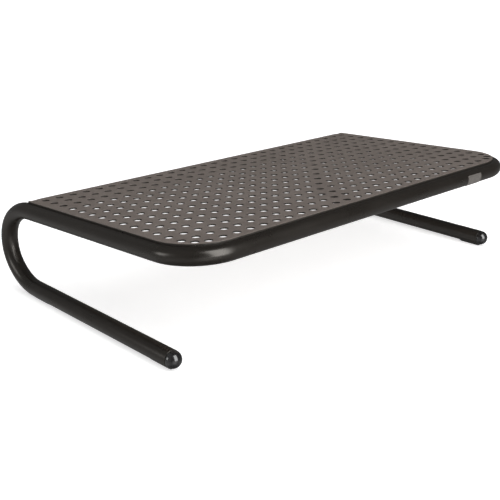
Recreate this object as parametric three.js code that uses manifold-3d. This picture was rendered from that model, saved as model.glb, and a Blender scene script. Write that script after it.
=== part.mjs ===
// A low monitor riser. One bent steel tube makes both feet, the C-shaped bends at the back and the rail
// round the front and sides, and a perforated steel sheet with a folded rear edge is welded on top of it.
//
// Millimetres, +X right, +Y to the back, +Z up. The origin is on the surface that the stand rests on,
// at the middle of the stand's outline. Pieces that touch on the real stand keep FIT_GAP between them.
import * as THREE from "three";
import { mergeVertices } from "three/addons/utils/BufferGeometryUtils.js";
import Module from "manifold-3d";

const wasm = await Module();
wasm.setup();

// ---------- driving dimensions ----------
const OVERALL_WIDTH = 375;
const OVERALL_DEPTH = 239;
const FRONT_RAIL_HEIGHT = 80.3; // axis of the front rail above the resting surface
const SLOPE = THREE.MathUtils.degToRad(3.04); // the platform's front edge is the higher one
const TUBE_RADIUS = 6.45; // half-inch tube and its powder coat
const TUBE_WALL = 1.2;
const TUBE_SIDES = 24;
const BORE_SIDES = 12;
const FRONT_CORNER_RADIUS = 33.5; // of the tube's axis
const REAR_BEND_END_RADIUS = 40; // the C-shaped rear bends start and end wide and are tighter in the middle
const REAR_BEND_END_TURN = THREE.MathUtils.degToRad(45);
const FOOT_SETBACK = 20.6; // from the front rail's foremost line back to the foot's tip
const FIT_GAP = 0.3;

const SHEET_THICKNESS = 1.25; // 1.2 mm steel and its coat
const SHEET_CORNER_RADIUS = 35.5; // the sheet's front corners are cut rounder than the tube's axis
const SHEET_REAR_REACH = 194.5; // from the front rail's axis to the sheet's rear edge, along the slope
const FLANGE_DROP = 12; // depth of the folded rear edge, over all
const FOLD_RADIUS = 2.5; // outside radius of the fold
const HOLE_COLUMNS = 29;
const HOLE_ROWS = 15;
const HOLE_PITCH_X = 12.2;
const HOLE_PITCH_Y = 12.5;
const HOLE_RADIUS = 3;
const HOLE_SIDES = 6;
const FIRST_ROW_INSET = 8.6; // first row of hole centres behind the front rail's axis
const CORNER_HOLE_SHIFT = 4.2; // the two front corner holes sit this far inwards, clear of the rounded edge

const CAP_SEAM = 0.4; // open seam between the tube's end and the cap's rim
const CAP_RIM = 0.4; // straight part of the cap before its dome
const CAP_UNDERSIZE = 0.1; // the cap's radius is this much less than the tube's
const PLUG_LENGTH = 14;
const PLUG_RIBS = 3;
const PLUG_RIB_HEIGHT = 0.35;

const PAD_LIFT = 0.9; // the pads hold the tube this far off the surface
const PAD_FLAT_WIDTH = 3.2;
const PAD_HALF_ANGLE = THREE.MathUtils.degToRad(28); // how far the pad reaches up round the tube
const PAD_LENGTH = 20.5;

const BADGE_WIDTH = 18.6;
const BADGE_THICKNESS = 0.3;
const BADGE_CENTRE_X = 119.4;
const BADGE_TOP_ANGLE = THREE.MathUtils.degToRad(30); // above the rail's foremost line
const BADGE_BOTTOM_ANGLE = THREE.MathUtils.degToRad(-64);

const WELD_LENGTH = 16;
const WELD_REACH = 6.2; // from the tube's axis to the weld's inner edge, under the sheet
const WELD_START_ANGLE = THREE.MathUtils.degToRad(27); // round the tube's flank, from its top
const WELD_END_ANGLE = THREE.MathUtils.degToRad(59);
const SIDE_WELD_OFFSETS = [45, 105, 165]; // weld centres behind the front rail's axis
const FRONT_WELD_OFFSETS = [-126, -42, 42, 126]; // weld centres from the stand's middle

// ---------- worked out from the dimensions above ----------
const RAIL_X = OVERALL_WIDTH / 2 - TUBE_RADIUS; // axes of the side rails and feet
const FRONT_Y = -OVERALL_DEPTH / 2 + TUBE_RADIUS; // axis of the front rail
const FOOT_Z = PAD_LIFT + TUBE_RADIUS; // axis of the feet

// The rear bend leaves the level foot, reaches the rear limit and meets the sloping rail's line. Its middle
// radius follows from these three.
const REAR_LIMIT_Y = OVERALL_DEPTH / 2 - TUBE_RADIUS; // of the tube's axis
const REAR_END_SIN = Math.sin(REAR_BEND_END_TURN);
const REAR_END_COS = Math.cos(REAR_BEND_END_TURN);
const REAR_RISE = FRONT_RAIL_HEIGHT - FOOT_Z - Math.tan(SLOPE) * (REAR_LIMIT_Y - FRONT_Y);
const REAR_BEND_MIDDLE_RADIUS =
  (REAR_RISE -
    REAR_BEND_END_RADIUS *
      (1 + Math.cos(SLOPE) - 2 * REAR_END_COS - (REAR_END_SIN - Math.sin(SLOPE)) * Math.tan(SLOPE))) /
  (2 * REAR_END_COS - (1 - REAR_END_SIN) * Math.tan(SLOPE));
const REAR_BEND_Y =
  REAR_LIMIT_Y - REAR_BEND_END_RADIUS * REAR_END_SIN - REAR_BEND_MIDDLE_RADIUS * (1 - REAR_END_SIN);

const DOME_CENTRE_Y = -OVERALL_DEPTH / 2 + FOOT_SETBACK + TUBE_RADIUS;
const TUBE_END_Y = DOME_CENTRE_Y + CAP_RIM + CAP_SEAM;

// The platform's own frame: X as the stand's, Y up the slope's fall to the back, Z square to the sheet,
// with its origin on the front rail's axis.
const SHEET_UNDERSIDE = TUBE_RADIUS + FIT_GAP;
const SHEET_TOP = SHEET_UNDERSIDE + SHEET_THICKNESS;

// ---------- materials ----------
const finish = (color, roughness, metalness) => new THREE.MeshStandardMaterial({ color, roughness, metalness });
const tubePaint = finish(0x35302b, 0.38, 0.55);
const sheetPaint = finish(0x6c6560, 0.55, 0.45);
const capPlastic = finish(0x171716, 0.15, 0);
const padRubber = finish(0x1d1c1b, 0.85, 0);
const badgeFilm = finish(0x8d8883, 0.5, 0.1);

// ---------- geometry helpers ----------
const solidFrom = (geometry) => {
  const bare = geometry.index ? geometry.toNonIndexed() : geometry.clone();
  bare.deleteAttribute("normal");
  bare.deleteAttribute("uv");
  const merged = mergeVertices(bare, 1e-4);
  return new wasm.Manifold(
    new wasm.Mesh({
      numProp: 3,
      vertProperties: merged.attributes.position.array,
      triVerts: new Uint32Array(merged.index.array),
    }),
  );
};

const geometryFrom = (solid) => {
  const mesh = solid.getMesh();
  const geometry = new THREE.BufferGeometry();
  geometry.setAttribute("position", new THREE.BufferAttribute(mesh.vertProperties, 3));
  geometry.setIndex(new THREE.BufferAttribute(mesh.triVerts, 1));
  geometry.computeVertexNormals();
  return geometry;
};

const polygonPoints = (radius, sides, centreX = 0, centreY = 0) =>
  Array.from({ length: sides }, (_, i) => {
    const angle = ((i + 0.5) / sides) * 2 * Math.PI;
    return new THREE.Vector2(centreX + radius * Math.cos(angle), centreY + radius * Math.sin(angle));
  });

// Points on an arc about (centreX, centreY), both ends included.
const arcPoints = (centreX, centreY, radius, from, to, steps) =>
  Array.from({ length: steps + 1 }, (_, i) => {
    const angle = from + ((to - from) * i) / steps;
    return new THREE.Vector2(centreX + radius * Math.cos(angle), centreY + radius * Math.sin(angle));
  });

const prism = (points, length) =>
  new THREE.ExtrudeGeometry(new THREE.Shape(points), { depth: length, bevelEnabled: false, steps: 1 });

// A prism whose section is drawn in (Y, Z) and runs along X, centred on the origin.
const prismAlongX = (points, length) => {
  const toYZX = new THREE.Matrix4().makeBasis(
    new THREE.Vector3(0, 1, 0),
    new THREE.Vector3(0, 0, 1),
    new THREE.Vector3(1, 0, 0),
  );
  return prism(points, length).translate(0, 0, -length / 2).applyMatrix4(toYZX);
};

const meshOf = (name, geometry, material) => {
  const mesh = new THREE.Mesh(geometry, material);
  mesh.name = name;
  return mesh;
};

// A path that is sampled at its own stations, so that the straight stretches need none between their ends.
class StationPath extends THREE.Curve {
  constructor(stations) {
    super();
    this.stations = stations;
  }
  stationAt(u) {
    return this.stations[Math.round(u * (this.stations.length - 1))];
  }
  getPoint(u, target = new THREE.Vector3()) {
    return target.copy(this.stationAt(u).point);
  }
  getPointAt(u, target) {
    return this.getPoint(u, target);
  }
  getTangent(u, target = new THREE.Vector3()) {
    return target.copy(this.stationAt(u).tangent);
  }
  getTangentAt(u, target) {
    return this.getTangent(u, target);
  }
}

// Stations of a bend that leaves `from` along its tangent and turns towards `inner` by `turn`.
const bendStations = (from, inner, radius, turn, steps) => {
  const centre = from.point.clone().addScaledVector(inner, radius);
  const axis = new THREE.Vector3().crossVectors(from.tangent, inner).normalize();
  return Array.from({ length: steps + 1 }, (_, i) => {
    const angle = (turn * i) / steps;
    const arm = inner.clone().multiplyScalar(-radius).applyAxisAngle(axis, angle);
    return { point: arm.add(centre), tangent: from.tangent.clone().applyAxisAngle(axis, angle).normalize() };
  });
};

// ---------- the tube frame ----------
const platformFrame = new THREE.Matrix4()
  .makeTranslation(0, FRONT_Y, FRONT_RAIL_HEIGHT)
  .multiply(new THREE.Matrix4().makeRotationX(-SLOPE));
const onPlatform = (x, y, z) => new THREE.Vector3(x, y, z).applyMatrix4(platformFrame);
const alongPlatform = (x, y) => new THREE.Vector3(x, y, 0).transformDirection(platformFrame);

// Bends that follow each other without a straight stretch, each given as [radius, turn, steps].
const compoundBend = (from, inner, parts) => {
  const stations = [from];
  let towards = inner;
  for (const [radius, turn, steps] of parts) {
    const last = stations.pop();
    stations.push(...bendStations(last, towards, radius, turn, steps));
    const axis = new THREE.Vector3().crossVectors(last.tangent, towards).normalize();
    towards = towards.clone().applyAxisAngle(axis, turn);
  }
  return stations;
};

const leftHalfStations = () => {
  const back = new THREE.Vector3(0, 1, 0);
  const footEnd = { point: new THREE.Vector3(-RAIL_X, TUBE_END_Y, FOOT_Z), tangent: back };
  const footRear = { point: new THREE.Vector3(-RAIL_X, REAR_BEND_Y, FOOT_Z), tangent: back };
  const rearBend = compoundBend(footRear, new THREE.Vector3(0, 0, 1), [
    [REAR_BEND_END_RADIUS, REAR_BEND_END_TURN, 4],
    [REAR_BEND_MIDDLE_RADIUS, Math.PI - 2 * REAR_BEND_END_TURN, 8],
    [REAR_BEND_END_RADIUS, REAR_BEND_END_TURN - SLOPE, 4],
  ]);
  const railFront = { point: onPlatform(-RAIL_X, FRONT_CORNER_RADIUS, 0), tangent: alongPlatform(0, -1) };
  const corner = bendStations(railFront, alongPlatform(1, 0), FRONT_CORNER_RADIUS, Math.PI / 2, 8);
  return [footEnd, ...rearBend, ...corner];
};

// The right half is the left half mirrored in X and walked the other way.
const mirrored = ({ point, tangent }) => ({
  point: new THREE.Vector3(-point.x, point.y, point.z),
  tangent: new THREE.Vector3(tangent.x, -tangent.y, -tangent.z),
});

// A section swept along the tube's whole axis, from one foot's open end to the other's.
const sweptAlongTube = (section) => {
  const left = leftHalfStations();
  const path = new StationPath([...left, ...left.map(mirrored).reverse()]);
  return new THREE.ExtrudeGeometry(section, {
    steps: path.stations.length - 1,
    extrudePath: path,
    bevelEnabled: false,
  });
};

const makeTubeFrame = () => {
  const section = new THREE.Shape(polygonPoints(TUBE_RADIUS, TUBE_SIDES));
  section.holes.push(new THREE.Path(polygonPoints(TUBE_RADIUS - TUBE_WALL, BORE_SIDES)));
  return meshOf("tube_frame", sweptAlongTube(section), tubePaint);
};

// ---------- the perforated platform ----------
// Centre of one hole. The two holes in the rounded front corners are drawn in along both axes.
const holeCentre = (row, column) => {
  const lastColumn = HOLE_COLUMNS - 1;
  const x = (column - lastColumn / 2) * HOLE_PITCH_X;
  const y = FIRST_ROW_INSET + row * HOLE_PITCH_Y;
  const inCorner = row === 0 && (column === 0 || column === lastColumn);
  const shift = inCorner ? CORNER_HOLE_SHIFT : 0;
  return new THREE.Vector2(x - Math.sign(x) * shift, y + shift);
};

// The sheet covers the rails up to their axes, or nearly so round the front corners.
const makeFlatSheet = () => {
  const radius = SHEET_CORNER_RADIUS;
  const outline = new THREE.Shape([
    ...arcPoints(-RAIL_X + radius, radius, radius, Math.PI, 1.5 * Math.PI, 8),
    ...arcPoints(RAIL_X - radius, radius, radius, -0.5 * Math.PI, 0, 8),
    new THREE.Vector2(RAIL_X, SHEET_REAR_REACH - FOLD_RADIUS),
    new THREE.Vector2(-RAIL_X, SHEET_REAR_REACH - FOLD_RADIUS),
  ]);
  for (let row = 0; row < HOLE_ROWS; row += 1) {
    for (let column = 0; column < HOLE_COLUMNS; column += 1) {
      const centre = holeCentre(row, column);
      outline.holes.push(new THREE.Path(polygonPoints(HOLE_RADIUS, HOLE_SIDES, centre.x, centre.y)));
    }
  }
  return new THREE.ExtrudeGeometry(outline, { depth: SHEET_THICKNESS, bevelEnabled: false, steps: 1 }).translate(
    0,
    0,
    SHEET_UNDERSIDE,
  );
};

// The rear fold and the leg below it, as one section in (Y, Z) run along X from axis to axis of the rails.
const makeRearFold = () => {
  const foldY = SHEET_REAR_REACH - FOLD_RADIUS;
  const foldZ = SHEET_TOP - FOLD_RADIUS;
  const bottom = SHEET_TOP - FLANGE_DROP;
  const outside = arcPoints(foldY, foldZ, FOLD_RADIUS, Math.PI / 2, 0, 4);
  const inside = arcPoints(foldY, foldZ, FOLD_RADIUS - SHEET_THICKNESS, 0, Math.PI / 2, 4);
  const section = [
    ...outside,
    new THREE.Vector2(SHEET_REAR_REACH, bottom),
    new THREE.Vector2(SHEET_REAR_REACH - SHEET_THICKNESS, bottom),
    ...inside,
  ];
  return prismAlongX(section, 2 * RAIL_X);
};

// The fold's ends are cut away round the tube, as it turns down there.
const makePlatform = () => {
  const clearance = sweptAlongTube(new THREE.Shape(polygonPoints(TUBE_RADIUS + FIT_GAP, TUBE_SIDES)));
  clearance.applyMatrix4(platformFrame.clone().invert());
  const fold = solidFrom(makeRearFold()).subtract(solidFrom(clearance));
  const solid = solidFrom(makeFlatSheet()).add(fold);
  return meshOf("perforated_platform", geometryFrom(solid), sheetPaint);
};

// ---------- the push-in end caps ----------
// A lathe about its own Y axis: the dome at the low end, the ribbed plug at the high end.
const makeEndCap = (name, side) => {
  const rimRadius = TUBE_RADIUS - CAP_UNDERSIZE;
  const plugRadius = (TUBE_RADIUS - TUBE_WALL) * Math.cos(Math.PI / BORE_SIDES) - FIT_GAP - PLUG_RIB_HEIGHT;
  const profile = arcPoints(0, 0, rimRadius, -Math.PI / 2, 0, 5);
  profile[0].x = 0;
  profile.push(new THREE.Vector2(rimRadius, CAP_RIM), new THREE.Vector2(plugRadius, CAP_RIM));
  const ribSpacing = (PLUG_LENGTH - CAP_RIM) / (PLUG_RIBS + 1);
  for (let rib = 1; rib <= PLUG_RIBS; rib += 1) {
    const y = CAP_RIM + rib * ribSpacing;
    profile.push(
      new THREE.Vector2(plugRadius, y - ribSpacing / 4),
      new THREE.Vector2(plugRadius + PLUG_RIB_HEIGHT, y - ribSpacing / 8),
      new THREE.Vector2(plugRadius, y + ribSpacing / 4),
    );
  }
  profile.push(new THREE.Vector2(plugRadius, PLUG_LENGTH), new THREE.Vector2(0, PLUG_LENGTH));
  const mesh = meshOf(name, new THREE.LatheGeometry(profile, 16), capPlastic);
  mesh.position.set(side * RAIL_X, DOME_CENTRE_Y, FOOT_Z);
  return mesh;
};

// ---------- the rubber pads ----------
// A section in (X, Z) about the foot's axis, flat below and hollowed to the tube above, run along Y.
const makePad = (name, side, centreY) => {
  const saddleRadius = TUBE_RADIUS + FIT_GAP;
  const down = -Math.PI / 2;
  const section = [
    new THREE.Vector2(-PAD_FLAT_WIDTH / 2, -FOOT_Z),
    new THREE.Vector2(PAD_FLAT_WIDTH / 2, -FOOT_Z),
    ...arcPoints(0, 0, saddleRadius, down + PAD_HALF_ANGLE, down - PAD_HALF_ANGLE, 6),
  ];
  const mesh = meshOf(name, prism(section, PAD_LENGTH), padRubber);
  mesh.rotation.x = Math.PI / 2;
  mesh.position.set(side * RAIL_X, centreY + PAD_LENGTH / 2, FOOT_Z);
  return mesh;
};

// ---------- the blank badge on the front rail ----------
const makeBadge = () => {
  const inner = TUBE_RADIUS + FIT_GAP;
  const outer = inner + BADGE_THICKNESS;
  // The foremost line of the rail is at half a turn in the (Y, Z) section.
  const top = Math.PI - BADGE_TOP_ANGLE;
  const bottom = Math.PI - BADGE_BOTTOM_ANGLE;
  const section = [...arcPoints(0, 0, outer, top, bottom, 10), ...arcPoints(0, 0, inner, bottom, top, 10)];
  const mesh = meshOf("front_badge", prismAlongX(section, BADGE_WIDTH), badgeFilm);
  mesh.position.set(BADGE_CENTRE_X, FRONT_Y, FRONT_RAIL_HEIGHT);
  return mesh;
};

// ---------- the stitch welds ----------
// A fillet between the tube's inner flank and the sheet's underside. Its section is in (inwards, up).
const weldSection = () => {
  const tubeSide = TUBE_RADIUS + FIT_GAP;
  const sheetSide = SHEET_UNDERSIDE - FIT_GAP;
  // The section is drawn from the sheet down the tube's flank and back up along the weld's face.
  const flank = arcPoints(0, 0, tubeSide, Math.PI / 2 - WELD_START_ANGLE, Math.PI / 2 - WELD_END_ANGLE, 4);
  return [new THREE.Vector2(flank[0].x, sheetSide), ...flank, new THREE.Vector2(WELD_REACH, sheetSide)];
};

// `inwards` and `along` are directions in the platform's plane, and `x` and `y` the tube's axis beside the weld.
const makeWeld = (name, x, y, inwards, along) => {
  const up = new THREE.Vector3(0, 0, 1);
  const basis = new THREE.Matrix4().makeBasis(inwards, up, along);
  const mesh = meshOf(name, prism(weldSection(), WELD_LENGTH).translate(0, 0, -WELD_LENGTH / 2), tubePaint);
  mesh.applyMatrix4(basis);
  mesh.position.set(x, y, 0);
  return mesh;
};

const makeWelds = () => {
  const welds = [];
  SIDE_WELD_OFFSETS.forEach((offset, i) => {
    for (const [label, side] of [["left", -1], ["right", 1]]) {
      const inwards = new THREE.Vector3(-side, 0, 0);
      const along = new THREE.Vector3(0, side, 0);
      welds.push(makeWeld(`weld_${label}_${i + 1}`, side * RAIL_X, offset, inwards, along));
    }
  });
  FRONT_WELD_OFFSETS.forEach((offset, i) => {
    const inwards = new THREE.Vector3(0, 1, 0);
    const along = new THREE.Vector3(1, 0, 0);
    welds.push(makeWeld(`weld_front_${i + 1}`, offset, 0, inwards, along));
  });
  return welds;
};

// ---------- assembly ----------
const stand = new THREE.Group();
stand.add(makeTubeFrame(), makeBadge());

const onSlope = new THREE.Group();
onSlope.applyMatrix4(platformFrame);
onSlope.add(makePlatform(), ...makeWelds());
stand.add(onSlope);

const frontPadY = DOME_CENTRE_Y + PAD_LENGTH / 2;
const rearPadY = REAR_BEND_Y - PAD_LENGTH / 2;
for (const [label, side] of [["left", -1], ["right", 1]]) {
  stand.add(
    makeEndCap(`${label}_end_cap`, side),
    makePad(`${label}_front_pad`, side, frontPadY),
    makePad(`${label}_rear_pad`, side, rearPadY),
  );
}

export default stand;
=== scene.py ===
"""Looks of the monitor riser stand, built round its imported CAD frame.

Metres, +X right, +Y to the back, +Z up. Places come from the CAD nodes' boxes. Each CAD node is replaced by
a finer piece, named after it with _visual at its end: smooth bends, rolled edges, round holes and rippled
weld beads.
"""
import math

import bmesh
import bpy
from mathutils import Matrix, Vector
from mathutils.geometry import delaunay_2d_cdt


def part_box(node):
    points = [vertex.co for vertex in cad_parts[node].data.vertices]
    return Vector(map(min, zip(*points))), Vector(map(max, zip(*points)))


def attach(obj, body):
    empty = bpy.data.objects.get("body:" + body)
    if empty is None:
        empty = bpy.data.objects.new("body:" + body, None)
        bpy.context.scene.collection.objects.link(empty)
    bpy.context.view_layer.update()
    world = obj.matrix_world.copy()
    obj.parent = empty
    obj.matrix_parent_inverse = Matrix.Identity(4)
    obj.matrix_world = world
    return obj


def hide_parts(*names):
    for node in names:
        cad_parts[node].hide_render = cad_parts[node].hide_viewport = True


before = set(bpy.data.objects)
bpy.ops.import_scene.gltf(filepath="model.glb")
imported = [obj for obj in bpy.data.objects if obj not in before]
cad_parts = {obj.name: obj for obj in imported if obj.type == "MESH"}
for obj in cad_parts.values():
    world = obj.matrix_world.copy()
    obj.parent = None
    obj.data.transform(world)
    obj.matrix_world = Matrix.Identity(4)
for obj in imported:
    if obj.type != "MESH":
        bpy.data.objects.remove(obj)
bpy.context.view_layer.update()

MM = 0.001
SIDES = ("left", "right")


# ---------- places read from the frame ----------
def middle_of(node):
    low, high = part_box(node)
    return (low + high) / 2


TUBE_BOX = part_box("tube_frame")
SHEET_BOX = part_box("perforated_platform")
BADGE_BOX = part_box("front_badge")
LEFT_CAP_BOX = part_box("left_end_cap")
REAR_PAD_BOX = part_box("left_rear_pad")

# The CAD tube's section is a polygon, and its flats give its box.
CAD_TUBE_SIDES = 24
RAIL_X = middle_of("right_front_pad").x
FLAT_RADIUS = TUBE_BOX[1].x - RAIL_X
TUBE_RADIUS = FLAT_RADIUS / math.cos(math.pi / CAD_TUBE_SIDES)
FOOT_Z = TUBE_BOX[0].z + FLAT_RADIUS
CAP_RADIUS = (LEFT_CAP_BOX[1].x - LEFT_CAP_BOX[0].x) / 2

# The side welds lie in a line down the slope.
WELD_RUN = middle_of("weld_left_3") - middle_of("weld_left_1")
SLOPE = math.atan2(-WELD_RUN.z, WELD_RUN.y)

FIT_GAP = 0.3 * MM  # that the CAD keeps between touching pieces
SHEET_THICKNESS = 1.25 * MM
SHEET_UNDERSIDE = TUBE_RADIUS + FIT_GAP
SHEET_TOP = SHEET_UNDERSIDE + SHEET_THICKNESS
FRONT_Y = SHEET_BOX[0].y - SHEET_UNDERSIDE * math.sin(SLOPE)
FRONT_Z = SHEET_BOX[1].z - SHEET_TOP * math.cos(SLOPE)
FRONT_CORNER_RADIUS = 33.5 * MM  # of the tube's axis
SHEET_CORNER_RADIUS = 35.5 * MM  # of the sheet's outline, which lies on the tube

# The C-shaped rear bends start and end wide and are tighter in the middle. The end of the straight foot and
# the rear limit set the middle radius.
REAR_BEND_Y = REAR_PAD_BOX[1].y
REAR_LIMIT_Y = TUBE_BOX[1].y - FLAT_RADIUS  # of the tube's axis
END_RADIUS = 40 * MM
END_TURN = math.radians(45)
MIDDLE_RADIUS = (REAR_LIMIT_Y - REAR_BEND_Y - END_RADIUS * math.sin(END_TURN)) / (1 - math.sin(END_TURN))

# The platform's own frame: X as the stand's, Y down the slope to the back, Z square to the sheet. Its origin
# is on the front rail's axis.
PLATFORM = Matrix.Translation((0, FRONT_Y, FRONT_Z)) @ Matrix.Rotation(-SLOPE, 4, "X")

# The sheet's rear edge is folded down into a flange. These places are in the platform's own frame.
FOLD_RADIUS = 2.5 * MM  # outside
FOLD_MIDDLE_RADIUS = FOLD_RADIUS - SHEET_THICKNESS / 2
FOLD_LENGTH = FOLD_MIDDLE_RADIUS * math.pi / 2
FOLD_CENTRE_Z = SHEET_TOP - FOLD_RADIUS
REAR_REACH = (SHEET_BOX[1].y - FRONT_Y - FOLD_CENTRE_Z * math.sin(SLOPE)) / math.cos(SLOPE)
FOLD_START = REAR_REACH - FOLD_RADIUS
FLANGE_BOTTOM = (SHEET_BOX[0].z - FRONT_Z + REAR_REACH * math.sin(SLOPE)) / math.cos(SLOPE)
BLANK_END = FOLD_START + FOLD_LENGTH + FOLD_CENTRE_Z - FLANGE_BOTTOM

# ---------- sizes of the details ----------
TUBE_WALL = 1.2 * MM
TUBE_SEGMENTS = 48
BEND_STEP = math.radians(3)
LIP_RADIUS = 0.4 * MM  # rounding of the tube's cut end
LIP_STEPS = 5
BORE_CHAMFER_LENGTH = 0.2 * MM
BORE_CHAMFER_DEPTH = 0.15 * MM

HOLE_COLUMNS = 29
HOLE_ROWS = 15
HOLE_PITCH_X = 12.2 * MM
HOLE_PITCH_Y = 12.5 * MM
HOLE_RADIUS = 3 * MM
HOLE_SEGMENTS = 24
FIRST_ROW_INSET = 8.6 * MM
CORNER_HOLE_SHIFT = 4.2 * MM
FLANGE_CORNER = 2 * MM
CORNER_STEPS = 24
FOLD_ROWS = 8
FLANGE_ROWS = 4
OUTLINE_STEP = 6 * MM
EDGE_ROUNDING = 0.35 * MM  # the coat rounds the sheet's upper edges this much
EDGE_BREAK = 0.12 * MM  # and its lower edges this much
MOST_ROUNDING = 0.8  # of half the thickness, which limits it on a thin film
MOST_BREAK = 0.3  # likewise
ROUND_MIDDLE = 0.29  # of the rounding: how far in and down the middle of a rounded edge lies
COAT_BRIDGE = 0.3 * MM  # the coat hangs down from the outline and closes the crack above the tube

CAP_SEAM = 0.4 * MM
CAP_RIM = 0.4 * MM
CAP_RIM_STRAIGHT = 0.6  # of the rim's height
CAP_RIM_CHAMFER = 0.15 * MM
DOME_STEPS = 14
PLUG_ROOT_FILLET = 0.2 * MM
PLUG_TIP_CHAMFER = 0.5 * MM
PLUG_RIBS = 3
PLUG_RIB_HEIGHT = 0.35 * MM

PAD_FLAT_WIDTH = 3.2 * MM
PAD_CORNER = 0.3 * MM
PAD_CORNER_STEPS = 3
PAD_SADDLE_STEPS = 8
PAD_END_LENGTH = 3.5 * MM
PAD_END_RISE = 0.8  # of the pad's thickness under the tube
PAD_END_STEPS = 8

BADGE_THICKNESS = 0.25 * MM
BADGE_GAP = 0.02 * MM  # the film hugs the tube
BADGE_CORNER = 0.8 * MM
BADGE_CORNER_STEPS = 5
BADGE_STEP = 0.6 * MM
BADGE_COLUMNS = 12

WELD_LENGTH = 16 * MM
WELD_REACH = 6.2 * MM  # how far the bead spreads along the sheet, from over the tube's axis
WELD_TOP_ANGLE = math.radians(27)  # where the bead starts down the tube's flank, from straight up
WELD_BOTTOM_ANGLE = math.radians(59)
WELD_FLANK_STEPS = 6
WELD_BELLY = 0.35 * MM
WELD_RIPPLES = 9
RIPPLE_STEPS = 6
# The bead's size at its ends, the swelling between them and a ripple add up to the full bead.
WELD_END_SIZE = 0.35
WELD_SWELL = 0.5
WELD_RIPPLE = 0.15
WELD_BLUNTNESS = 0.25  # power of the swelling: the lower it is, the sooner the bead is full

# Faces that meet at a sharper angle than this, in degrees, keep a crisp edge.
CRISP_ANGLE = 50
CAP_CRISP_ANGLE = 35
WELD_CRISP_ANGLE = 60


# ---------- mesh helpers ----------
def make_piece(name, vertices, faces, material, crisp_angle=CRISP_ANGLE):
    """A smooth closed mesh that stands for the CAD node of the same name and rides with the stand."""
    mesh = bpy.data.meshes.new(name + "_visual")
    mesh.from_pydata([tuple(v) for v in vertices], [], faces)
    tidy = bmesh.new()
    tidy.from_mesh(mesh)
    bmesh.ops.recalc_face_normals(tidy, faces=tidy.faces)
    tidy.to_mesh(mesh)
    tidy.free()
    mesh.polygons.foreach_set("use_smooth", [True] * len(mesh.polygons))
    mesh.set_sharp_from_angle(angle=math.radians(crisp_angle))
    mesh.materials.append(material.surface)
    piece = bpy.data.objects.new(mesh.name, mesh)
    bpy.context.scene.collection.objects.link(piece)
    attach(piece, "root")
    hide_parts(name)
    return piece


MOST_WEIGHT = 100  # the end of the modifier's scale


def weighted_normals(piece):
    """Lets the large flat faces set the normals, so that flats shade flat beside their rolled edges."""
    modifier = piece.modifiers.new("flats", "WEIGHTED_NORMAL")
    modifier.keep_sharp = True
    modifier.weight = MOST_WEIGHT


def skin(rings, closed=False):
    """Faces between rings of equal size. Open skins get a flat face at each end."""
    size = len(rings[0])
    vertices = [point for ring in rings for point in ring]
    faces = []
    for i in range(len(rings) if closed else len(rings) - 1):
        here = i * size
        there = (i + 1) % len(rings) * size
        for j in range(size):
            k = (j + 1) % size
            faces.append((here + j, here + k, there + k, there + j))
    if not closed:
        faces.append(tuple(range(size)))
        faces.append(tuple(range((len(rings) - 1) * size, len(rings) * size)))
    return vertices, faces


def lathe(profile, segments):
    """Turns (radius, height) points about Z. A point with no radius becomes a pole."""
    vertices = []
    starts = []
    for radius, height in profile:
        starts.append(len(vertices))
        for i in range(segments if radius > 0 else 1):
            angle = 2 * math.pi * i / segments
            vertices.append(Vector((radius * math.cos(angle), radius * math.sin(angle), height)))
    faces = []
    for row in range(len(profile) - 1):
        here = starts[row]
        there = starts[row + 1]
        for i in range(segments):
            j = (i + 1) % segments
            if profile[row][0] == 0:
                faces.append((here, there + j, there + i))
            elif profile[row + 1][0] == 0:
                faces.append((here + i, here + j, there))
            else:
                faces.append((here + i, here + j, there + j, there + i))
    return vertices, faces


def arc(centre, radius, start, end, steps):
    """Points on an arc in a plane, both ends included. Angles in radians."""
    angles = [start + (end - start) * i / steps for i in range(steps + 1)]
    return [Vector((centre[0] + radius * math.cos(a), centre[1] + radius * math.sin(a))) for a in angles]


def inset_loop(loop, distance):
    """Moves a closed loop to its left by a distance, keeping its corners' mitres."""
    moved = []
    for i, point in enumerate(loop):
        before = (point - loop[i - 1]).normalized()
        after = (loop[(i + 1) % len(loop)] - point).normalized()
        left = Vector((-before.y - after.y, before.x + after.x)).normalized()
        mitre = left.dot(Vector((-after.y, after.x)))
        moved.append(point + left * distance / mitre)
    return moved


def rounded_polygon(corners, steps):
    """A polygon with each corner (x, y, radius) rounded by an arc that meets both edges, or left as it is."""
    loop = []
    for i, (x, y, radius) in enumerate(corners):
        corner = Vector((x, y))
        if radius == 0:
            loop.append(corner)
            continue
        back = (Vector(corners[i - 1][:2]) - corner).normalized()
        on = (Vector(corners[(i + 1) % len(corners)][:2]) - corner).normalized()
        half_angle = back.angle(on) / 2
        centre = corner + (back + on).normalized() * radius / math.sin(half_angle)
        start = corner + back * radius / math.tan(half_angle) - centre
        end = corner + on * radius / math.tan(half_angle) - centre
        turn = start.angle_signed(end)
        for step in range(steps + 1):
            loop.append(centre + start @ Matrix.Rotation(turn * step / steps, 2))
    return loop


def filled_in(loop, spacing):
    """Adds points along a loop's long edges."""
    filled = []
    for i, point in enumerate(loop):
        following = loop[(i + 1) % len(loop)]
        count = max(1, round((following - point).length / spacing))
        filled += [point.lerp(following, step / count) for step in range(count)]
    return filled


TRIANGLES_INSIDE = 1  # delaunay_2d_cdt's output type
SAME_POINT = 1e-8


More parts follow.
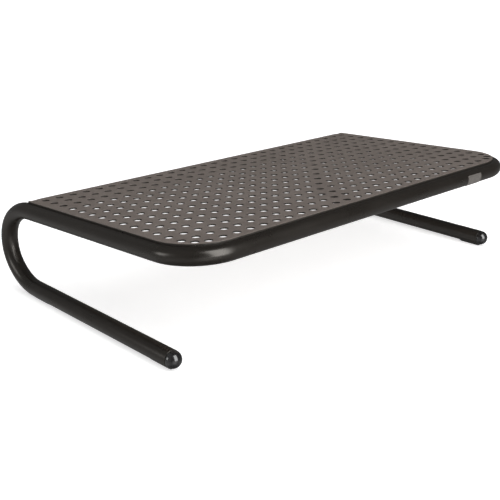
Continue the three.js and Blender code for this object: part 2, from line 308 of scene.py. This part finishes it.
def flat_web(loops, extra_points):
    """Fills the first loop, an outline, round the others, its holes. Returns the points and triangles."""
    points = [point for loop in loops for point in loop] + extra_points
    edges = []
    owner = []
    for number, loop in enumerate(loops):
        start = len(owner)
        edges += [(start + i, start + (i + 1) % len(loop)) for i in range(len(loop))]
        owner += [number] * len(loop)
    owner += [None] * len(extra_points)
    _, _, triangles, sources, _, _ = delaunay_2d_cdt(points, edges, [], TRIANGLES_INSIDE, SAME_POINT)
    triangles = [[sources[i][0] for i in triangle] for triangle in triangles]

    def in_hole(triangle):
        owners = {owner[i] for i in triangle}
        return len(owners) == 1 and not owners & {0, None}

    return points, [triangle for triangle in triangles if not in_hole(triangle)]


def edge_rows(half, rounding, edge_break, hang):
    """Rows of (inset, height, mark) down a sheet's edge, from its top flat to its bottom flat."""
    return [
        (rounding * ROUND_MIDDLE, half - rounding * ROUND_MIDDLE, "rim"),
        (0, half - rounding, "wall_shade"),
        (0, -half + edge_break - hang, "wall_shade"),
        (edge_break, -half - hang, "wall_shade"),
    ]


def formed_sheet(loops, extra_points, thickness, place, hang=0.0):
    """A sheet cut to flat loops, with its material on each loop's left, and then formed.

    The first loop is the outline, whose lower edge can hang down a little. The upper edges are rolled over
    and the lower ones only broken. place(x, y, height) gives the formed position of a point of the flat
    blank, with its height over the blank's middle. Returns the vertices, the faces, and the marks "rim" and
    "wall", which are 1 at the vertices on the rolled rims and on the cut walls, and 0 elsewhere.
    """
    half = thickness / 2
    rounding = min(EDGE_ROUNDING, MOST_ROUNDING * half)
    edge_break = min(EDGE_BREAK, MOST_BREAK * half)
    flat, web = flat_web([inset_loop(loop, rounding) for loop in loops], extra_points)
    count = len(flat)
    vertices = [place(point.x, point.y, half) for point in flat]
    vertices += [place(point.x, point.y, -half) for point in flat]
    mark_of = [None] * len(vertices)
    faces = [tuple(triangle) for triangle in web]
    faces += [tuple(i + count for i in reversed(triangle)) for triangle in web]
    start = 0
    for loop in loops:
        size = len(loop)
        is_outline = start == 0
        rows = [[start + i for i in range(size)]]
        for inset, height, mark in edge_rows(half, rounding, edge_break, hang if is_outline else 0):
            first = len(vertices)
            vertices += [place(point.x, point.y, height) for point in inset_loop(loop, inset)]
            mark_of += [mark] * size
            rows.append([first + i for i in range(size)])
        rows.append([start + count + i for i in range(size)])
        for upper, lower in zip(rows, rows[1:]):
            for i in range(size):
                j = (i + 1) % size
                faces.append((upper[i], lower[i], lower[j], upper[j]))
        start += size
    marks = {name: [float(mark == name) for mark in mark_of] for name in ("rim", "wall_shade")}
    return vertices, faces, marks


def add_marks(piece, marks):
    """Keeps the marks on the mesh's points, where the material reads them."""
    for name, values in marks.items():
        layer = piece.data.attributes.new(name, "FLOAT", "POINT")
        layer.data.foreach_set("value", values)


# ---------- node helpers ----------
class Nodes:
    """Short ways to add nodes to a tree. Inputs take a number, a colour or another node's output."""

    def __init__(self, tree):
        self.tree = tree

    def link(self, source, target):
        self.tree.links.new(source, target)

    def fill(self, sockets, values):
        for socket, value in zip(sockets, values):
            if isinstance(value, bpy.types.NodeSocket):
                self.link(value, socket)
            else:
                socket.default_value = value

    def node(self, kind, **inputs):
        made = self.tree.nodes.new(kind)
        names = [name.replace("_", " ") for name in inputs]
        self.fill([made.inputs[name] for name in names], inputs.values())
        return made

    def maths(self, operation, *values):
        made = self.node("ShaderNodeMath")
        made.operation = operation
        self.fill(made.inputs, values)
        return made.outputs["Value"]

    def dot(self, vector, other):
        made = self.node("ShaderNodeVectorMath")
        made.operation = "DOT_PRODUCT"
        self.fill(made.inputs, (vector, other))
        return made.outputs["Value"]

    def spread(self, value, low, high, start=0.3, end=0.7):
        """Maps the range start to end smoothly onto low to high, and holds it beyond."""
        span = {"From_Min": start, "From_Max": end, "To_Min": low, "To_Max": high}
        made = self.node("ShaderNodeMapRange", Value=value, **span)
        made.interpolation_type = "SMOOTHSTEP"
        return made.outputs["Result"]

    def mix(self, factor, first, second):
        made = self.node("ShaderNodeMix")
        made.data_type = "RGBA"
        colours = [s for s in made.inputs if s.type == "RGBA"]
        pair = [c if isinstance(c, bpy.types.NodeSocket) else (*c, 1) for c in (first, second)]
        self.fill([made.inputs["Factor"]] + colours, [factor] + pair)
        return next(s for s in made.outputs if s.type == "RGBA")


class Surface(Nodes):
    """A procedural material and the record's slot that it belongs to."""

    def __init__(self, name, slot):
        self.slot = slot
        self.surface = bpy.data.materials.new(name)
        self.surface.use_nodes = True
        super().__init__(self.surface.node_tree)
        self.shader = self.tree.nodes["Principled BSDF"]
        self.place = self.node("ShaderNodeTexCoord").outputs["Object"]

    def set(self, **values):
        names = [name.replace("_", " ") for name in values]
        self.fill([self.shader.inputs[name] for name in names], values.values())

    def noise(self, size, detail=2.0, place=None):
        """Noise whose features are about `size` metres across."""
        made = self.node("ShaderNodeTexNoise", Vector=place or self.place, Scale=1 / size, Detail=detail)
        return made.outputs["Fac"]

    def attribute(self, name):
        made = self.node("ShaderNodeAttribute")
        made.attribute_name = name
        return made.outputs["Fac"]

    def bump(self, height, distance, under=None):
        """Relief of `distance` metres for a height from 0 to 1, on top of another relief."""
        made = self.node("ShaderNodeBump", Height=height, Distance=distance)
        if under is not None:
            self.link(under, made.inputs["Normal"])
        return made.outputs["Normal"]


# ---------- materials ----------
def powder_coat(name, slot, dark, light, roughness, worn=None, wall_shade=None):
    """Satin metallic powder coat: fine flakes, orange peel and a cloudy tone.

    On a sheet, the coat is thinner and brighter in places on the rims. The cut walls of the holes and the
    sheet's
    edge get painted shade: near black, for the shade inside the holes and under the sheet's edge.
    """
    coat = Surface(name, slot)
    flakes = coat.noise(0.5 * MM, 1.0)
    clouds = coat.noise(35 * MM, 3.0)
    peel = coat.noise(1.6 * MM)
    tone = coat.maths("MULTIPLY", coat.spread(flakes, 0.0, 1.0), coat.spread(clouds, 0.6, 1.0))
    colour = coat.mix(tone, dark, light)
    if worn:
        scuffs = coat.spread(coat.noise(4 * MM, 4.0), 0.0, 0.8, 0.45, 0.65)
        colour = coat.mix(coat.maths("MULTIPLY", coat.attribute("rim"), scuffs), colour, worn)
        # Painted shade: the cut walls are painted near black, for the shade inside the holes and along the
        # sheet's edge.
        colour = coat.mix(coat.attribute("wall_shade"), colour, wall_shade)
    coat.set(
        Base_Color=colour,
        Roughness=coat.spread(clouds, roughness - 0.04, roughness + 0.05),
        Normal=coat.bump(flakes, 0.004 * MM, coat.bump(peel, 0.012 * MM)),
        Specular_IOR_Level=0.85,
        Specular_Tint=(1.0, 0.95, 0.89, 1),
    )
    return coat


def tube_paint():
    dark = (0.0060, 0.0048, 0.0037)
    light = (0.0128, 0.0102, 0.0078)
    return powder_coat("tube_paint", "tube_paint", dark, light, roughness=0.30)


def sheet_paint():
    # Painted light: the sheet has the tube's dark paint, here made many times lighter for the light that
    # falls on its top.
    dark = (0.127, 0.105, 0.093)
    light = (0.183, 0.155, 0.139)
    worn = (0.23, 0.20, 0.18)
    # Painted shade for the cut walls: near black, for the shade inside the holes and under the sheet's edge.
    wall_shade = (0.012, 0.010, 0.008)
    return powder_coat("sheet_paint", "sheet_paint", dark, light, roughness=0.55, worn=worn, wall_shade=wall_shade)


def weld_paint():
    """The tube's coat over the weld beads, where it is a little paler and rougher."""
    dark = (0.008, 0.0064, 0.005)
    light = (0.017, 0.0135, 0.0105)
    return powder_coat("weld_paint", "tube_paint", dark, light, roughness=0.46)


def cap_plastic():
    """Glossy black moulded plastic with fine moulding haze."""
    plastic = Surface("cap_plastic", "cap_plastic")
    haze = plastic.noise(2.5 * MM, 3.0)
    plastic.set(
        Base_Color=plastic.mix(haze, (0.006, 0.006, 0.006), (0.014, 0.013, 0.013)),
        Roughness=plastic.spread(haze, 0.14, 0.22),
        Specular_IOR_Level=1.0,
        Coat_Weight=0.6,
        Coat_Roughness=0.13,
        Normal=plastic.bump(plastic.noise(1.2 * MM), 0.004 * MM),
    )
    return plastic


def pad_rubber():
    """Matt black rubber with a fine grain."""
    rubber = Surface("pad_rubber", "pad_rubber")
    grain = rubber.noise(0.4 * MM, 3.0)
    rubber.set(
        Base_Color=rubber.mix(grain, (0.010, 0.010, 0.009), (0.024, 0.023, 0.021)),
        Roughness=rubber.spread(grain, 0.72, 0.92),
        Normal=rubber.bump(grain, 0.05 * MM),
    )
    return rubber


def badge_film():
    """Brushed silver-grey film, with its strokes drawn along the rail."""
    film = Surface("badge_film", "badge_film")
    drawn = film.node("ShaderNodeMapping", Vector=film.place, Scale=(0.04, 1, 1)).outputs["Vector"]
    strokes = film.noise(0.25 * MM, 2.0, drawn)
    film.set(
        Base_Color=film.mix(strokes, (0.115, 0.105, 0.096), (0.175, 0.162, 0.149)),
        Roughness=film.spread(strokes, 0.38, 0.52),
        Normal=film.bump(strokes, 0.006 * MM),
        Metallic=0.3,
    )
    return film


# ---------- the tube frame ----------
def bend(start, heading, inner, radius, turn):
    """Stations (point, heading) round a bend that turns towards `inner`, one every BEND_STEP or less."""
    axis = heading.cross(inner).normalized()
    steps = math.ceil(turn / BEND_STEP)
    turns = [Matrix.Rotation(turn * i / steps, 3, axis) for i in range(steps + 1)]
    return [(start + inner * radius - part @ inner * radius, part @ heading) for part in turns]


def rear_bend():
    """Stations round the left rear bend: three bends that follow each other with no straight stretch."""
    stations = [(Vector((-RAIL_X, REAR_BEND_Y, FOOT_Z)), Vector((0, 1, 0)))]
    middle_turn = math.pi - 2 * END_TURN
    parts = [(END_RADIUS, END_TURN), (MIDDLE_RADIUS, middle_turn), (END_RADIUS, END_TURN - SLOPE)]
    for radius, turn in parts:
        start, heading = stations.pop()
        inner = Vector((1, 0, 0)).cross(heading)
        stations += bend(start, heading, inner, radius, turn)
    return stations


def rail_drop(y):
    """How far the rail's axis has turned down from its line, in the platform's own frame."""
    start = PLATFORM.inverted() @ rear_bend()[-1][0]
    into_bend = max(y - start.y, 0)
    return END_RADIUS - math.sqrt(END_RADIUS**2 - into_bend**2)


def left_half_of_path():
    """Stations from the left foot's open end, round the rear bend and up the side, past the front corner."""
    end_y = LEFT_CAP_BOX[0].y + CAP_RADIUS + CAP_RIM + CAP_SEAM
    turned = PLATFORM.to_3x3()
    rail_front = PLATFORM @ Vector((-RAIL_X, FRONT_CORNER_RADIUS, 0))
    forward = turned @ Vector((0, -1, 0))
    inwards = turned @ Vector((1, 0, 0))
    corner = bend(rail_front, forward, inwards, FRONT_CORNER_RADIUS, math.pi / 2)
    open_end = (Vector((-RAIL_X, end_y, FOOT_Z)), Vector((0, 1, 0)))
    return [open_end] + rear_bend() + corner


def mirrored(station):
    """The same station on the right half, walked the other way."""
    point, heading = station
    return Vector((-point.x, point.y, point.z)), Vector((heading.x, -heading.y, -heading.z))


def lip_profile():
    """The tube's cut end as (distance in from its face, radius), from the bore out to the skin."""
    bore = TUBE_RADIUS - TUBE_WALL
    lip_centre = (LIP_RADIUS, TUBE_RADIUS - LIP_RADIUS)
    lip = arc(lip_centre, LIP_RADIUS, math.pi, math.pi / 2, LIP_STEPS)
    chamfer = [(BORE_CHAMFER_LENGTH, bore), (0, bore + BORE_CHAMFER_DEPTH)]
    return chamfer + [(point.x, point.y) for point in lip]


def frames_along(stations):
    """Adds to each station two directions square to it that never twist about the path."""
    side = Vector((1, 0, 0))
    last_heading = stations[0][1]
    framed = []
    for point, heading in stations:
        side = last_heading.rotation_difference(heading) @ side
        last_heading = heading
        framed.append((point, heading, side, heading.cross(side)))
    return framed


def ring(station, radius, shift=0.0):
    """A circle of points about a station, moved along the path by a shift."""
    point, heading, side, across = station
    centre = point + heading * shift
    angles = [2 * math.pi * i / TUBE_SEGMENTS for i in range(TUBE_SEGMENTS)]
    return [centre + (side * math.cos(a) + across * math.sin(a)) * radius for a in angles]


def make_tube(material):
    """One hollow tube: out over its skin from end to end, and back through its bore."""
    left = left_half_of_path()
    stations = frames_along(left + [mirrored(s) for s in reversed(left)])
    first = stations[0]
    last = stations[-1]
    between = stations[1:-1]
    rings = [ring(first, radius, inwards) for inwards, radius in lip_profile()]
    rings += [ring(station, TUBE_RADIUS) for station in between]
    rings += [ring(last, radius, -inwards) for inwards, radius in reversed(lip_profile())]
    rings += [ring(station, TUBE_RADIUS - TUBE_WALL) for station in reversed(between)]
    make_piece("tube_frame", *skin(rings, closed=True), material)


# ---------- the perforated platform ----------
def hole_centres():
    """The lattice of holes, with the two in the rounded front corners drawn in."""
    last = HOLE_COLUMNS - 1
    for row in range(HOLE_ROWS):
        for column in range(HOLE_COLUMNS):
            x = (column - last / 2) * HOLE_PITCH_X
            y = FIRST_ROW_INSET + row * HOLE_PITCH_Y
            shift = CORNER_HOLE_SHIFT if row == 0 and column in (0, last) else 0
            yield Vector((x - math.copysign(shift, x), y + shift))


def formed(x, y, height):
    """Folds a point of the flat blank, in the platform's own frame."""
    radius = FOLD_MIDDLE_RADIUS + height
    angle = min(max((y - FOLD_START) / FOLD_MIDDLE_RADIUS, 0), math.pi / 2)
    down_flange = max(y - FOLD_START - FOLD_LENGTH, 0)
    formed_y = min(y, FOLD_START) + radius * math.sin(angle)
    return Vector((x, formed_y, FOLD_CENTRE_Z + radius * math.cos(angle) - down_flange))


def edge_beside_tube(y):
    """Half the blank's width at y, cut to clear the tube as it turns down."""
    inside = formed(0, y, -SHEET_THICKNESS / 2)
    over_axis = inside.z + rail_drop(inside.y)
    clearance = TUBE_RADIUS + FIT_GAP
    return RAIL_X - math.sqrt(max(clearance**2 - over_axis**2, 0))


def blank_outline(fold_rows):
    """The blank's outline, anticlockwise, with round front corners and a rear end cut round the tube."""
    flange_start = fold_rows[-1]
    flange_run = BLANK_END - FLANGE_CORNER * 2 - flange_start
    flange_rows = [flange_start + flange_run * (i + 1) / FLANGE_ROWS for i in range(FLANGE_ROWS)]
    beside_tube = [(edge_beside_tube(y), y) for y in fold_rows + flange_rows]
    end = edge_beside_tube(BLANK_END)
    return rounded_polygon(
        [(-RAIL_X, 0, SHEET_CORNER_RADIUS), (RAIL_X, 0, SHEET_CORNER_RADIUS)]
        + [(x, y, 0) for x, y in beside_tube]
        + [(end, BLANK_END, FLANGE_CORNER), (-end, BLANK_END, FLANGE_CORNER)]
        + [(-x, y, 0) for x, y in reversed(beside_tube)],
        CORNER_STEPS,
    )


def hole_loop(centre):
    """A punched hole's outline, clockwise."""
    last_angle = 2 * math.pi / HOLE_SEGMENTS
    circle = arc((0, 0), HOLE_RADIUS, 2 * math.pi, last_angle, HOLE_SEGMENTS - 1)
    return [centre + point for point in circle]


def make_platform(material):
    """The flat blank with its holes punched, folded down at the back and laid on the rails."""

    def place(x, y, height):
        return PLATFORM @ formed(x, y, height)

    fold_rows = [FOLD_START + FOLD_LENGTH * i / FOLD_ROWS for i in range(FOLD_ROWS + 1)]
    loops = [filled_in(blank_outline(fold_rows), OUTLINE_STEP)]
    loops += [hole_loop(centre) for centre in hole_centres()]
    # Rows of points across the fold let it turn smoothly.
    half_row = RAIL_X - TUBE_RADIUS - OUTLINE_STEP / 2
    columns = round(2 * half_row / OUTLINE_STEP)
    across = [(2 * i / columns - 1) * half_row for i in range(columns + 1)]
    extra = [Vector((x, y)) for y in fold_rows for x in across]
    vertices, faces, marks = formed_sheet(loops, extra, SHEET_THICKNESS, place, COAT_BRIDGE)
    piece = make_piece("perforated_platform", vertices, faces, material)
    add_marks(piece, marks)
    weighted_normals(piece)


# ---------- the end caps ----------
def cap_profile(plug_length):
    """Half of the cap cut along its axis, as (radius, height): dome, rim, ribbed plug and flat tip."""
    plug = TUBE_RADIUS - TUBE_WALL - 2 * FIT_GAP - PLUG_RIB_HEIGHT
    dome = arc((0, 0), CAP_RADIUS, -math.pi / 2, 0, DOME_STEPS)
    profile = [(0, -CAP_RADIUS)] + [(point.x, point.y) for point in dome[1:]]
    profile += [
        (CAP_RADIUS, CAP_RIM * CAP_RIM_STRAIGHT),
        (CAP_RADIUS - CAP_RIM_CHAMFER, CAP_RIM),
        (plug + PLUG_ROOT_FILLET, CAP_RIM),
        (plug, CAP_RIM + PLUG_ROOT_FILLET),
    ]
    spacing = (plug_length - CAP_RIM) / (PLUG_RIBS + 1)
    for rib in range(1, PLUG_RIBS + 1):
        height = CAP_RIM + rib * spacing
        profile += [
            (plug, height - spacing / 4),
            (plug + PLUG_RIB_HEIGHT, height - spacing / 8),
            (plug, height + spacing / 4),
        ]
    return profile + [
        (plug, plug_length - PLUG_TIP_CHAMFER),
        (plug - PLUG_TIP_CHAMFER, plug_length),
        (0, plug_length),
    ]


def make_cap(side, material):
    """A dome with a rim, and a ribbed plug that goes into the tube."""
    name = side + "_end_cap"
    low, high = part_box(name)
    vertices, faces = lathe(cap_profile(high.y - low.y - CAP_RADIUS), TUBE_SEGMENTS)
    # The lathe turns about Z, and the cap lies along Y.
    centre = Vector(((low.x + high.x) / 2, low.y + CAP_RADIUS, FOOT_Z))
    vertices = [centre + Vector((v.x, v.z, -v.y)) for v in vertices]
    make_piece(name, vertices, faces, material, CAP_CRISP_ANGLE)


# ---------- the rubber pads ----------
def make_pad(name, material):
    """A strip, flat below and hollowed to the tube above, whose underside rises in a curve at both ends."""
    low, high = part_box(name)
    middle = (low + high) / 2
    saddle = TUBE_RADIUS + FIT_GAP
    half_angle = math.asin((high.x - low.x) / 2 / saddle)
    down = -math.pi / 2
    hollow_arc = arc((0, 0), saddle, down + half_angle, down - half_angle, PAD_SADDLE_STEPS)
    hollow = [(point.x, point.y, 0) for point in hollow_arc]
    end_rise = PAD_END_RISE * (FOOT_Z - saddle)

    def section(y):
        """The pad cut across the foot at y."""
        to_end = min(y - low.y, high.y - y) / PAD_END_LENGTH
        rise = end_rise * (1 - math.sqrt(1 - (1 - to_end) ** 2)) if to_end < 1 else 0
        half = PAD_FLAT_WIDTH / 2
        flat = [(-half, rise - FOOT_Z, PAD_CORNER), (half, rise - FOOT_Z, PAD_CORNER)]
        loop = rounded_polygon(flat + hollow, PAD_CORNER_STEPS)
        return [Vector((middle.x + point.x, y, FOOT_Z + point.y)) for point in loop]

    turns = [math.pi / 2 * i / PAD_END_STEPS for i in range(PAD_END_STEPS + 1)]
    from_end = [PAD_END_LENGTH * (1 - math.cos(turn)) for turn in turns]
    places = [low.y + reach for reach in from_end] + [high.y - reach for reach in reversed(from_end)]
    make_piece(name, *skin([section(y) for y in places]), material)


# ---------- the badge ----------
def make_badge(material):
    """A blank film, wrapped round the front of the rail."""
    low, high = BADGE_BOX
    middle = TUBE_RADIUS + BADGE_GAP + BADGE_THICKNESS / 2
    cad_radius = FRONT_Y - low.y
    top = math.asin((high.z - FRONT_Z) / cad_radius)
    bottom = math.asin((low.z - FRONT_Z) / cad_radius)

    def place(x, y, height):
        """Wraps a point of the flat film round the tube."""
        angle = y / middle
        radius = middle + height
        return Vector((x, FRONT_Y - radius * math.cos(angle), FRONT_Z + radius * math.sin(angle)))

    corners = [(low.x, bottom), (high.x, bottom), (high.x, top), (low.x, top)]
    blank = [(x, angle * middle, BADGE_CORNER) for x, angle in corners]
    outline = filled_in(rounded_polygon(blank, BADGE_CORNER_STEPS), BADGE_STEP)
    rows = int((top - bottom) * middle / BADGE_STEP)
    extra = [
        Vector((low.x + (high.x - low.x) * column / BADGE_COLUMNS, bottom * middle + BADGE_STEP * row))
        for row in range(1, rows)
        for column in range(1, BADGE_COLUMNS)
    ]
    vertices, faces, _ = formed_sheet([outline], extra, BADGE_THICKNESS, place)
    piece = make_piece("front_badge", vertices, faces, material)
    weighted_normals(piece)


# ---------- the welds ----------
def weld_size(part):
    """The bead's size at a part of its length, from 0 to 1: small at the ends, full and rippled between."""
    fullness = (4 * part * (1 - part)) ** WELD_BLUNTNESS if 0 < part < 1 else 0.0
    ripple = 0.5 + 0.5 * math.sin(2 * math.pi * WELD_RIPPLES * part)
    return WELD_END_SIZE + WELD_SWELL * fullness + WELD_RIPPLE * ripple * fullness


def weld_section(size):
    """The bead cut across the rail, as (distance from over the tube's axis, height over it)."""
    tube_side = TUBE_RADIUS + FIT_GAP
    ceiling = SHEET_UNDERSIDE - FIT_GAP
    up = math.pi / 2
    flank = arc((0, 0), tube_side, up - WELD_TOP_ANGLE, up - WELD_BOTTOM_ANGLE, WELD_FLANK_STEPS)
    root = Vector((flank[0].x, ceiling))
    toe = Vector((WELD_REACH, ceiling))
    belly = toe.lerp(flank[-1], 0.5) + Vector((WELD_BELLY, -WELD_BELLY))
    section = [root + (point - root) * size for point in [root] + flank + [belly, toe]]
    section = [Vector((point.x, min(point.y, ceiling))) for point in section]
    return [p if p.length > tube_side else p.normalized() * tube_side for p in section]


def make_weld(name, material):
    """A rippled bead in the corner between the tube's flank and the sheet's underside."""
    centre = PLATFORM.inverted() @ middle_of(name)
    side = math.copysign(1, centre.x)

    def place(along, point):
        """A point of the bead's section, that far along the bead from its middle."""
        if "front" in name:
            return PLATFORM @ Vector((centre.x + along, point.x, point.y))
        return PLATFORM @ Vector((side * (RAIL_X - point.x), centre.y + along, point.y))

    steps = WELD_RIPPLES * RIPPLE_STEPS
    rings = []
    for step in range(steps + 1):
        part = step / steps
        along = (part - 0.5) * WELD_LENGTH
        rings.append([place(along, point) for point in weld_section(weld_size(part))])
    make_piece(name, *skin(rings), material, WELD_CRISP_ANGLE)


# ---------- the stage ----------
FLOOR_HALF_SIZE = 30
FLOOR_TONE = 0.8
FLOOR_ROUGHNESS = 0.9
FLOOR_GLOW = 0.66  # the floor is a softly lit pale sheet, so its shadows stay faint
FAR_FLOOR_GLOW = 1.0  # further out the lights no longer help
FLOOR_GLOW_RANGE = (0.3, 1.2)  # between these distances the one turns into the other


def direction(azimuth, elevation):
    """A unit vector, from angles in degrees. Azimuth 0 is the stand's front and 90 its right."""
    turn = math.radians(azimuth)
    rise = math.radians(elevation)
    return Vector((math.sin(turn) * math.cos(rise), -math.cos(turn) * math.cos(rise), math.sin(rise)))


def make_floor():
    """A plain pale floor, which the gloss doesn't show."""
    size = FLOOR_HALF_SIZE
    corners = [(-size, -size, 0), (size, -size, 0), (size, size, 0), (-size, size, 0)]
    mesh = bpy.data.meshes.new("floor")
    mesh.from_pydata(corners, [], [(0, 1, 2, 3)])
    floor = bpy.data.objects.new("floor", mesh)
    bpy.context.scene.collection.objects.link(floor)
    surface = bpy.data.materials.new("floor")
    surface.use_nodes = True
    nodes = Nodes(surface.node_tree)
    place = nodes.node("ShaderNodeTexCoord").outputs["Object"]
    distance = nodes.maths("SQRT", nodes.dot(place, place))
    shader = surface.node_tree.nodes["Principled BSDF"]
    shader.inputs["Base Color"].default_value = (FLOOR_TONE, FLOOR_TONE, FLOOR_TONE, 1)
    shader.inputs["Roughness"].default_value = FLOOR_ROUGHNESS
    shader.inputs["Specular IOR Level"].default_value = 0
    shader.inputs["Emission Color"].default_value = (1, 1, 1, 1)
    glow = nodes.spread(distance, FLOOR_GLOW, FAR_FLOOR_GLOW, *FLOOR_GLOW_RANGE)
    nodes.link(glow, shader.inputs["Emission Strength"])
    mesh.materials.append(surface)
    floor.visible_glossy = False


# The camera stands at the photograph's viewpoint.
CAMERA_PLACE = (-0.51032, -0.51097, 0.27308)
CAMERA_AZIMUTH = math.radians(-43.633)
CAMERA_DIP = math.radians(19.655)
CAMERA_ROLL = math.radians(0.209)
CAMERA_SENSOR_WIDTH = 36  # in millimetres, as the lens
CAMERA_LENS = 64.56
CAMERA_CLIP_START = 0.01


def make_camera():
    data = bpy.data.cameras.new("camera")
    data.sensor_width = CAMERA_SENSOR_WIDTH
    data.lens = CAMERA_LENS
    data.clip_start = CAMERA_CLIP_START
    camera = bpy.data.objects.new("camera", data)
    bpy.context.scene.collection.objects.link(camera)
    camera.matrix_world = (
        Matrix.Translation(CAMERA_PLACE)
        @ Matrix.Rotation(CAMERA_AZIMUTH, 4, "Z")
        @ Matrix.Rotation(math.pi / 2 - CAMERA_DIP, 4, "X")
        @ Matrix.Rotation(CAMERA_ROLL, 4, "Z")
    )
    bpy.context.scene.camera = camera


LIGHT_DISTANCE = 1.6
ROOM_GLOW = 0.09

# The room is a little lighter on the stand's left, and the table in front shines where the key light falls
# on it. Each has its (azimuth, elevation), and its range is of cosines of the angle from there.
SIDE_GLOW = 0.10
SIDE_DIRECTION = (-125, 8)
SIDE_RANGE = (0.1, 0.7)
FRONT_GLOW = 0.45
FRONT_DIRECTION = (-14, -14)
FRONT_RANGE = (0.82, 0.99)

# What the gloss sees below the horizon is brightest at a middling dip. The ranges are sines of the elevation.
TABLE_GLOW = 0.17
TABLE_RISE = (-0.95, -0.6)
TABLE_FALL = (-0.4, 0.1)


def softbox(name, azimuth, elevation, width, height, radiance, mirrored=True):
    """A soft light that faces the stand. One that isn't mirrored doesn't show in the gloss."""
    data = bpy.data.lights.new(name, "AREA")
    data.shape = "RECTANGLE"
    data.size = width
    data.size_y = height
    data.energy = radiance * math.pi * width * height
    light = bpy.data.objects.new(name, data)
    bpy.context.scene.collection.objects.link(light)
    towards = direction(azimuth, elevation)
    light.location = towards * LIGHT_DISTANCE
    light.rotation_euler = towards.to_track_quat("Z", "Y").to_euler()
    light.visible_glossy = mirrored


def make_room():
    """A dim room over a pale table. The camera sees it as white."""
    world = bpy.data.worlds.new("studio")
    world.use_nodes = True
    room = Nodes(world.node_tree)
    towards = room.node("ShaderNodeTexCoord").outputs["Generated"]
    height = room.dot(towards, (0, 0, 1))
    rise = room.spread(height, 0, TABLE_GLOW, *TABLE_RISE)
    fall = room.spread(height, 1, 0, *TABLE_FALL)
    side = room.spread(room.dot(towards, direction(*SIDE_DIRECTION)), 0, SIDE_GLOW, *SIDE_RANGE)
    front = room.spread(room.dot(towards, direction(*FRONT_DIRECTION)), 0, FRONT_GLOW, *FRONT_RANGE)
    glow = ROOM_GLOW
    for part in (room.maths("MULTIPLY", rise, fall), side, front):
        glow = room.maths("ADD", glow, part)
    seen = room.node("ShaderNodeLightPath").outputs["Is Camera Ray"]
    background = world.node_tree.nodes["Background"]
    room.link(room.maths("MAXIMUM", glow, seen), background.inputs["Strength"])
    background.inputs["Color"].default_value = (1, 1, 1, 1)
    bpy.context.scene.world = world


def light_studio():
    """A dim room, two soft lights and an even wash from above."""
    make_room()
    softbox("key", azimuth=0, elevation=31, width=1.0, height=2.0, radiance=4.0)
    softbox("fill", azimuth=-107, elevation=15, width=0.5, height=0.5, radiance=2.8)
    softbox("wash", azimuth=0, elevation=90, width=2.4, height=2.4, radiance=1.0, mirrored=False)


# ---------- everything ----------
TUBE_PAINT = tube_paint()
CAP_PLASTIC = cap_plastic()
PAD_RUBBER = pad_rubber()
WELD_PAINT = weld_paint()

make_tube(TUBE_PAINT)
make_platform(sheet_paint())
make_badge(badge_film())
for side in SIDES:
    make_cap(side, CAP_PLASTIC)
    make_pad(side + "_front_pad", PAD_RUBBER)
    make_pad(side + "_rear_pad", PAD_RUBBER)
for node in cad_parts:
    if node.startswith("weld_"):
        make_weld(node, WELD_PAINT)

make_floor()
make_camera()
light_studio()
bpy.context.scene.view_settings.view_transform = "Standard"
